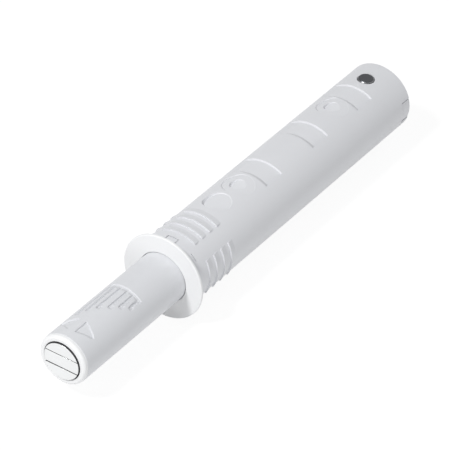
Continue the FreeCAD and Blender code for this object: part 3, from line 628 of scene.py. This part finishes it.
class CATCH_OT_housing(bpy.types.Operator):
    """Housing with its sunk rounds and finger bands"""

    bl_idname = "catch.housing"
    bl_label = "Housing"

    # Places along the catch, in mm: the middles of the rounds, and where each finger band
    # starts and how long it is.
    RINGS = (16.14, 38.1)
    PLAIN_ROUND = 11.5
    BANDS = (19.25, 30.0, 40.75)
    BAND_LENGTH = 2.9
    # A band's angles, in degrees from the top: it starts at the first, is as deep as it
    # gets from the second on, and stops at the last.
    BAND_SPAN = (-43.0, -31.0, 32.4)
    # A band is cut this much past the one in the solid, so that no skin is left, and its
    # rear wall leans by this, in mm.
    PAST = 0.01
    REAR_DRAFT = 0.12

    def execute(self, context):
        marks = context.scene.catch_marks
        draft = marks.round_draft / MM
        cutters = []
        for centre in self.RINGS:
            cutters.append(sunk_round("wide_ring", HOUSING_RADIUS, marks.ring_depth / MM, centre,
                                      marks.ring_radius / MM, marks.ring_draft / MM))
            cutters.append(sunk_round("inner_round", HOUSING_RADIUS, marks.dot_depth / MM, centre,
                                      marks.dot_radius / MM, draft))
        cutters.append(sunk_round("plain_round", HOUSING_RADIUS, marks.disc_depth / MM,
                                  self.PLAIN_ROUND, marks.disc_radius / MM, draft))
        fade, whole, stop = self.BAND_SPAN
        for start in self.BANDS:
            rows = []
            for angle in angles(fade, whole) + angles(whole, stop)[1:]:
                there = min(1.0, (math.degrees(angle) - fade) / (whole - fade))
                rows.append((angle, start - self.PAST, start + self.BAND_LENGTH + self.PAST,
                             max(SKIN, marks.band_front / MM * there),
                             max(SKIN, marks.band_rear / MM * there)))
            cutters.append(sunk_strip("band", HOUSING_RADIUS, rows, marks.band_draft / MM,
                                      self.REAR_DRAFT))
        piece = marked_copy("housing", "housing_moulding", HOUSING_RADIUS, cutters)
        material = plastic("satin_grey_plastic", context.scene.catch_colours.housing,
                           roughness=0.46, grain_depth=3e-6, drift=0.018)
        finish_marked(piece, "housing", "fixed", material)
        dress(["end_plug"], material)
        return {"FINISHED"}


class CATCH_OT_plunger(bpy.types.Operator):
    """Plunger with its turn marks and its scale of grooves"""

    bl_idname = "catch.plunger"
    bl_label = "Plunger"

    # Turn marks: the angles of base and point in degrees, the low and high y of the base
    # and the y of the point in mm, and half the width of the point.
    POINTERS = ((7.5, 41.1, -18.81, -16.78, -17.85), (-11.3, -45.1, -18.86, -16.74, -17.89))
    POINT = 0.01
    # The scale: the groove round the plunger, and the angle and front end of each groove
    # along it.
    RAIL_Y = -8.65
    RAIL_SPAN = (-31.1, 46.9)
    TEETH = ((-31.1, -15.75), (-17.1, -14.65), (-3.1, -13.6), (13.9, -12.6), (27.9, -11.5),
             (41.9, -10.4))
    # A foot reaches this far to the side of its groove, and its rear wall leans by this,
    # in mm.
    HOOK = 0.20
    FOOT_REAR = 0.2
    # The rail and the feet have these parts of the grooves' depth.
    RAIL_PART = 0.75
    FOOT_PART = 0.55

    def execute(self, context):
        marks = context.scene.catch_marks
        depth = marks.groove_depth / MM
        draft = marks.groove_draft / MM
        lean = draft / PLUNGER_RADIUS
        half = marks.groove_width / MM / 2
        spread = math.degrees(half / PLUNGER_RADIUS)
        hook = math.degrees(self.HOOK / PLUNGER_RADIUS)

        def sink(name, rows, part=1.0, rear_draft=draft):
            return sunk_strip(name, PLUNGER_RADIUS, tapered(rows, depth * part, lean),
                              marks.groove_front / MM, rear_draft)

        cutters = []
        for base, point, low, high, tip in self.POINTERS:
            rows = []
            for angle in angles(base, point):
                near = (angle - math.radians(point)) / math.radians(base - point)
                rows.append((angle, tip + (low - tip) * near - self.POINT,
                             tip + (high - tip) * near + self.POINT))
            cutters.append(sink("pointer", rows))
        cutters.append(sink("rail", [(angle, self.RAIL_Y - half, self.RAIL_Y + half)
                                     for angle in angles(*self.RAIL_SPAN)], self.RAIL_PART))
        for centre, front in self.TEETH:
            cutters.append(sink("tooth", [(angle, front, self.RAIL_Y)
                                          for angle in angles(centre - spread, centre + spread)]))
            cutters.append(sink("foot", [(angle, front, front + 2 * half)
                                         for angle in angles(centre, centre + spread + hook)],
                                self.FOOT_PART, self.FOOT_REAR))
        piece = marked_copy("plunger", "plunger_moulding", PLUNGER_RADIUS, cutters)
        material = plastic("smooth_grey_plastic", context.scene.catch_colours.plunger,
                           roughness=0.40, grain_depth=2e-6, drift=0.014)
        finish_marked(piece, "plunger", "plunger", material)
        return {"FINISHED"}


class CATCH_OT_white(bpy.types.Operator):
    """Collar, tip and detent ring in white"""

    bl_idname = "catch.white"
    bl_label = "White mouldings"

    # The collar's sleeve and tongues, from this y in mm behind its flange, are the
    # housing's grey.
    SLEEVE_START = 0.05

    def execute(self, context):
        colours = context.scene.catch_colours
        gloss = {"roughness": 0.38, "grain_depth": 2e-6, "drift": 0.010}
        sleeve = (colours.housing, self.SLEEVE_START * MM)
        dress(["tip_head", "detent_ring"], plastic("white_plastic", colours.white, **gloss))
        dress(["collar"], plastic("white_flange_grey_sleeve", colours.white, second=sleeve,
                                  **gloss))
        return {"FINISHED"}


class CATCH_OT_magnet(bpy.types.Operator):
    """Magnet bar between two pole plates, with dark colour painted as shade on their sides and in
    a ring in the gap round them
    """

    bl_idname = "catch.magnet"
    bl_label = "Magnet and pole plates"

    # How far the dark ring, painted shade in the gap round the disc, lies behind the face of the
    # tip, and how hollow it is, in mm.
    GAP_SHADE_BACK = 0.05
    GAP_SHADE_HOLLOW = 0.06
    # Steps round that dark ring, and round each end of an outline.
    GAP_SHADE_STEPS = 96
    ARC_STEPS = 36
    # A face is square to an axis when its normal has more than this along it.
    SQUARE = 0.99
    # A broken edge goes in by no more at a sharp corner than this allows.
    MITRE_LIMIT = 0.35
    # A side lies behind the broken edge when it ends this far past it, and it is a flat one
    # when its middle lies this far inside the disc, in mm.
    PAST_EDGE = 0.01
    INSIDE_DISC = 0.02

    def execute(self, context):
        sizes = context.scene.catch_magnet
        colours = context.scene.catch_colours
        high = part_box("magnet")[1] / MM
        disc = (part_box("pole_plate_upper")[1] / MM).z
        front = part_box("pole_plate_upper")[0].y / MM
        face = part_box("tip_head")[0].y / MM
        nickel = metal("nickel_plate", colours.nickel, roughness=0.34, stretch=(0.15, 1.0, 1.0),
                       line_depth=1.5e-6)
        # Painted shade: a dark colour for the gaps round the magnet and plates.
        gap_shade = rubber("painted_gap_shade", colours.gap_shade)
        edge = sizes.edge / MM
        upper = high.z - sizes.upper_joint / MM
        lower = sizes.lower_joint / MM - high.z
        shapes = (("magnet_bar", "magnet", lower, upper, front + sizes.bar_back / MM),
                  ("upper_plate", "pole_plate_upper", high.z, disc, front),
                  ("lower_plate", "pole_plate_lower", -disc, -high.z, front))
        for name, node, bottom, ceiling, start in shapes:
            outline = self.outline(disc, bottom, ceiling)
            piece = self.slab(name, outline, start, high.y, edge, disc)
            piece.data.materials.append(nickel)
            piece.data.materials.append(gap_shade)
            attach(piece, "tip")
            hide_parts(node)
        # A dark ring in the groove round the disc, painted as the gap's shade.
        ring = self.gap_shade_ring(disc, disc + sizes.groove / MM, face + self.GAP_SHADE_BACK, high.y)
        ring.data.materials.append(gap_shade)
        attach(ring, "tip")
        return {"FINISHED"}

    def outline(self, disc, bottom, ceiling):
        """The disc's outline between two heights, as (x, z), going round once."""
        low = math.asin(max(-1.0, min(1.0, bottom / disc)))
        high = math.asin(max(-1.0, min(1.0, ceiling / disc)))
        right = [(disc * math.cos(a), disc * math.sin(a))
                 for a in np.linspace(low, high, self.ARC_STEPS)]
        left = [(-x, z) for x, z in reversed(right)]
        points = right + left
        return [p for i, p in enumerate(points) if math.dist(p, points[i - 1]) > ONE_POINT]

    def slab(self, name, outline, front, back, edge, disc):
        """A flat piece of that outline, its front edge broken. Its sides take the second
        material, the dark colour painted on them as the shade of the gaps."""
        count = len(outline)
        middle = sum((np.array(p) for p in outline), np.zeros(2)) / count
        inner = []
        for index, point in enumerate(outline):
            before, after = np.array(outline[index - 1]), np.array(outline[(index + 1) % count])
            here = np.array(point)
            ways = [here - before, after - here]
            normals = [np.array((way[1], -way[0])) / np.hypot(*way) for way in ways]
            bend = normals[0] + normals[1]
            bend /= max(1.0 + float(normals[0] @ normals[1]), self.MITRE_LIMIT)
            if bend @ (here - middle) < 0:
                bend = -bend
            inner.append(here - bend * edge)
        corners = [(x, front, z) for x, z in inner]
        corners += [(x, front + edge, z) for x, z in outline]
        corners += [(x, back, z) for x, z in outline]
        mesh = mesh_from(name, [tuple(v * MM for v in corner) for corner in corners],
                         tube_faces(count, 3))
        for face in mesh.polygons:
            x, _, z = face.center / MM
            rear = max(mesh.vertices[v].co.y for v in face.vertices) / MM
            inside = math.hypot(x, z) < disc - self.INSIDE_DISC
            straight = abs(face.normal.z) > self.SQUARE and inside
            # Sides behind the broken edge take the dark painted shade.
            face.material_index = int(rear > front + edge + self.PAST_EDGE)
            face.use_smooth = abs(face.normal.y) < self.SQUARE and not straight
        return new_object(name, mesh)

    def gap_shade_ring(self, inside, outside, front, back):
        """A dark ring with a hollow front, painted shade in the gap round the disc."""
        section = ((inside, front), ((inside + outside) / 2, front + self.GAP_SHADE_HOLLOW),
                   (outside, front), (outside, back), (inside, back))
        corners = []
        for step in range(self.GAP_SHADE_STEPS):
            turn = 2 * math.pi * step / self.GAP_SHADE_STEPS
            corners += [(reach * math.cos(turn) * MM, y * MM, reach * math.sin(turn) * MM)
                        for reach, y in section]
        mesh = mesh_from("gap_shade_ring", corners,
                         tube_faces(len(section), self.GAP_SHADE_STEPS, closed=True))
        mesh.polygons.foreach_set("use_smooth", [True] * len(mesh.polygons))
        return new_object("gap_shade_ring", mesh)


class CATCH_OT_steel(bpy.types.Operator):
    """Pin, rod, washers, lever, screw, leaf and nut in their metals"""

    bl_idname = "catch.steel"
    bl_label = "Small metal parts"

    # Height at the cross pin's ends that is painted lighter as a highlight, in mm.
    PIN_HIGHLIGHT_DEPTH = 0.09

    def execute(self, context):
        colours = context.scene.catch_colours
        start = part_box("cross_pin")[1].z - self.PIN_HIGHLIGHT_DEPTH * MM
        turned = {"stretch": (1.0, 0.12, 1.0), "line_depth": 2e-6}
        # The cross pin's ends carry a painted highlight.
        dress(["cross_pin"], dark_steel_painted_ends("dark_steel", colours.dark_steel, colours.pin_end_highlight,
                                         start))
        dress(["guide_rod", "rear_spring_washer", "front_spring_washer", "follower_lever",
               "follower_pin", "adjuster_screw"],
              metal("turned_steel", colours.steel, roughness=0.30, **turned))
        dress(["follower_spring"],
              metal("leaf_steel", colours.spring, roughness=0.28, stretch=(1.0, 0.1, 1.0),
                    line_depth=1.5e-6))
        dress(["adjuster_nut"], metal("turned_brass", colours.brass, roughness=0.27, **turned))
        dress(["buffer_ring"], rubber("soft_rubber", colours.rubber))
        return {"FINISHED"}


class CATCH_OT_spring(bpy.types.Operator):
    """Round-wire spring with closed ends"""

    bl_idname = "catch.spring"
    bl_label = "Spring"

    # Steps in a turn, and sides of the wire.
    STEPS = 40
    SIDES = 12
    # Closed turns at each end.
    CLOSED = 1.25
    # The spring stays this far inside the CAD spring's outside, in mm.
    CLEAR = 0.02

    def execute(self, context):
        sizes = context.scene.catch_spring
        low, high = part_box("main_spring")
        centre = (low + high) / 2
        wire = sizes.wire / 2
        reach = (high.x - low.x) / 2 - wire - self.CLEAR * MM
        start, end = low.y + wire, high.y - wire
        total = int(sizes.turns * self.STEPS)
        path = []
        for step in range(total + 1):
            turn = step / self.STEPS
            turning = 2 * math.pi * turn
            path.append(Vector((centre.x + reach * math.cos(turning),
                                self.rise(turn, sizes.turns, start, end, 2 * wire),
                                centre.z + reach * math.sin(turning))))
        corners = []
        for index, point in enumerate(path):
            ahead = path[min(index + 1, total)] - path[max(index - 1, 0)]
            ahead.normalize()
            out = (point - Vector((centre.x, point.y, centre.z))).normalized()
            across = ahead.cross(out).normalized()
            out = across.cross(ahead)
            for side in range(self.SIDES):
                turn = 2 * math.pi * side / self.SIDES
                corners.append(point + (out * math.cos(turn) + across * math.sin(turn)) * wire)
        mesh = mesh_from("wound_spring", corners, tube_faces(self.SIDES, len(path)))
        mesh.polygons.foreach_set("use_smooth", [len(f.vertices) == 4 for f in mesh.polygons])
        mesh.materials.append(metal("drawn_wire", context.scene.catch_colours.spring,
                                    roughness=0.28, stretch=(1.0, 0.3, 1.0), line_depth=1.5e-6))
        spring = new_object("wound_spring", mesh)
        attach(spring, "fixed")
        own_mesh(spring)
        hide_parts("main_spring")
        return {"FINISHED"}

    def rise(self, turn, turns, start, end, wire):
        """How far along the axis the wire is after that many turns."""
        pitch = (end - start - 2 * self.CLOSED * wire) / (turns - 2 * self.CLOSED)
        if turn < self.CLOSED:
            return start + turn * wire
        if turn > turns - self.CLOSED:
            return end - (turns - turn) * wire
        return start + self.CLOSED * wire + (turn - self.CLOSED) * pitch


class CATCH_OT_stage(bpy.types.Operator):
    """Floor, lamps, world and camera"""

    bl_idname = "catch.stage"
    bl_label = "Stage"

    # How far the floor reaches to each side, in metres.
    FLOOR_REACH = 0.8
    # Where the floor is seen it glows at this level, and takes this share of its colour
    # from the lamps, so that it shows a faint shadow.
    FLOOR_GLOW = 0.90
    FLOOR_SHARE = 0.2
    # The lamps: distance from the catch, way there from it, and side of the square, in metres.
    LAMP_DISTANCE = 0.45
    KEY_WAY = (-0.17, -0.59, 0.79)
    KEY_SIZE = 0.07
    SIDE_WAY = (0.78, -0.58, 0.20)
    SIDE_SIZE = 0.30
    # Light from all round, and the surround where it is seen.
    FILL_COLOUR = (0.985, 0.99, 1.0, 1.0)
    WHITE = (1.0, 1.0, 1.0, 1.0)

    def execute(self, context):
        stage = context.scene.catch_stage
        low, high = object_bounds()
        centre = (low + high) / 2
        self.floor(centre, low.z, stage)
        self.world(context.scene, stage)
        self.lamp("key_lamp", centre, self.KEY_WAY, self.KEY_SIZE, stage.key)
        self.lamp("side_lamp", centre, self.SIDE_WAY, self.SIDE_SIZE, stage.side)
        self.camera(context.scene)
        context.scene.view_settings.view_transform = "Standard"
        return {"FINISHED"}

    def floor(self, centre, height, stage):
        """A wide floor that shows nearly white and keeps a faint shadow."""
        reach = self.FLOOR_REACH
        mesh = bpy.data.meshes.new("floor")
        mesh.from_pydata([(centre.x + x * reach, centre.y + y * reach, height)
                          for x, y in ((-1, -1), (1, -1), (1, 1), (-1, 1))], [], [(0, 1, 2, 3)])
        finish = Finish("floor")
        lit = finish.node("ShaderNodeBsdfDiffuse", None, {"Color": shade(stage.floor, 1.0)})
        faint = finish.node("ShaderNodeBsdfDiffuse", None,
                            {"Color": shade(stage.floor, self.FLOOR_SHARE)})
        glow = finish.node("ShaderNodeEmission", None,
                           {"Color": self.WHITE, "Strength": self.FLOOR_GLOW})
        white = finish.node("ShaderNodeAddShader", None,
                            {0: faint.outputs[0], 1: glow.outputs[0]})
        finish.node("ShaderNodeOutputMaterial", None,
                    {"Surface": finish.either(finish.seen(), lit, white)})
        mesh.materials.append(finish.material)
        new_object("floor", mesh)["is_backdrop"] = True

    def world(self, scene, stage):
        """A white surround at a plain level, pure white where it is seen or mirrored."""
        scene.world = bpy.data.worlds.new("surround")
        nodes = Nodes(scene.world)
        fill = nodes.node("ShaderNodeBackground", None,
                          {"Color": self.FILL_COLOUR, "Strength": stage.fill})
        white = nodes.node("ShaderNodeBackground", None, {"Color": self.WHITE, "Strength": 1.0})
        nodes.node("ShaderNodeOutputWorld", None,
                   {"Surface": nodes.either(nodes.seen(), fill, white)})

    def lamp(self, name, centre, way, size, level):
        """A square lamp that gives a facing white surface that level."""
        data = bpy.data.lights.new(name, "AREA")
        data.shape = "SQUARE"
        data.size = size
        data.energy = level * math.pi ** 2 * self.LAMP_DISTANCE ** 2
        lamp = new_object(name, data)
        aim = Vector(way).normalized()
        lamp.location = centre + aim * self.LAMP_DISTANCE
        lamp.rotation_euler = aim.to_track_quat("Z", "Y").to_euler()

    @staticmethod
    def camera(scene):
        """The camera at the photograph's place, turned with the catch about its length."""
        back = Vector((math.sin(CAMERA_AZIMUTH) * math.cos(CAMERA_ELEVATION),
                       -math.cos(CAMERA_AZIMUTH) * math.cos(CAMERA_ELEVATION),
                       math.sin(CAMERA_ELEVATION)))
        right = Vector((math.cos(CAMERA_AZIMUTH), math.sin(CAMERA_AZIMUTH), 0.0))
        up = back.cross(right)
        beside, above, ahead = ORIGIN_SEEN_AT
        place = -(right * beside + up * above - back * ahead) * MM
        pose = Matrix((right, up, back)).transposed().to_4x4()
        pose.translation = place
        turn = Matrix.Rotation(-CATCH_ROLL, 4, "Y")
        data = bpy.data.cameras.new("camera")
        data.lens = LENS
        data.sensor_width = SENSOR
        data.clip_start = CLIP_NEAR
        data.clip_end = CLIP_FAR
        camera = new_object("camera", data)
        camera.matrix_world = turn @ pose
        scene.camera = camera


class CATCH_PT_panel(bpy.types.Panel):
    """Lists the sizes, the colours and the operators"""

    bl_idname = "CATCH_PT_panel"
    bl_label = "Push to open catch"
    bl_space_type = "VIEW_3D"
    bl_region_type = "UI"
    bl_category = "Catch"

    def draw(self, context):
        for operator in OPERATORS:
            self.layout.operator(operator.bl_idname)
        for name, group in GROUPS.items():
            box = self.layout.box()
            box.label(text=group.__doc__)
            held = getattr(context.scene, name)
            for key in group.__annotations__:
                box.prop(held, key)


GROUPS = {
    "catch_colours": CatchColours,
    "catch_marks": CatchMarks,
    "catch_spring": CatchSpring,
    "catch_magnet": CatchMagnet,
    "catch_stage": CatchStage,
}
OPERATORS = (CATCH_OT_housing, CATCH_OT_plunger, CATCH_OT_white, CATCH_OT_magnet,
             CATCH_OT_steel, CATCH_OT_spring, CATCH_OT_stage)


def register():
    """Registers the property groups, the operators and the panel."""
    for name, group in GROUPS.items():
        bpy.utils.register_class(group)
        setattr(bpy.types.Scene, name, bpy.props.PointerProperty(type=group))
    for item in OPERATORS + (CATCH_PT_panel,):
        bpy.utils.register_class(item)


def unregister():
    """Takes away what register() added."""
    for item in reversed(OPERATORS + (CATCH_PT_panel,)):
        bpy.utils.unregister_class(item)
    for name, group in reversed(GROUPS.items()):
        delattr(bpy.types.Scene, name)
        bpy.utils.unregister_class(group)


def main():
    """Makes every piece in order."""
    register()
    bpy.ops.catch.housing()
    bpy.ops.catch.plunger()
    bpy.ops.catch.white()
    bpy.ops.catch.magnet()
    bpy.ops.catch.steel()
    bpy.ops.catch.spring()
    bpy.ops.catch.stage()


if __name__ == "__main__":
    main()
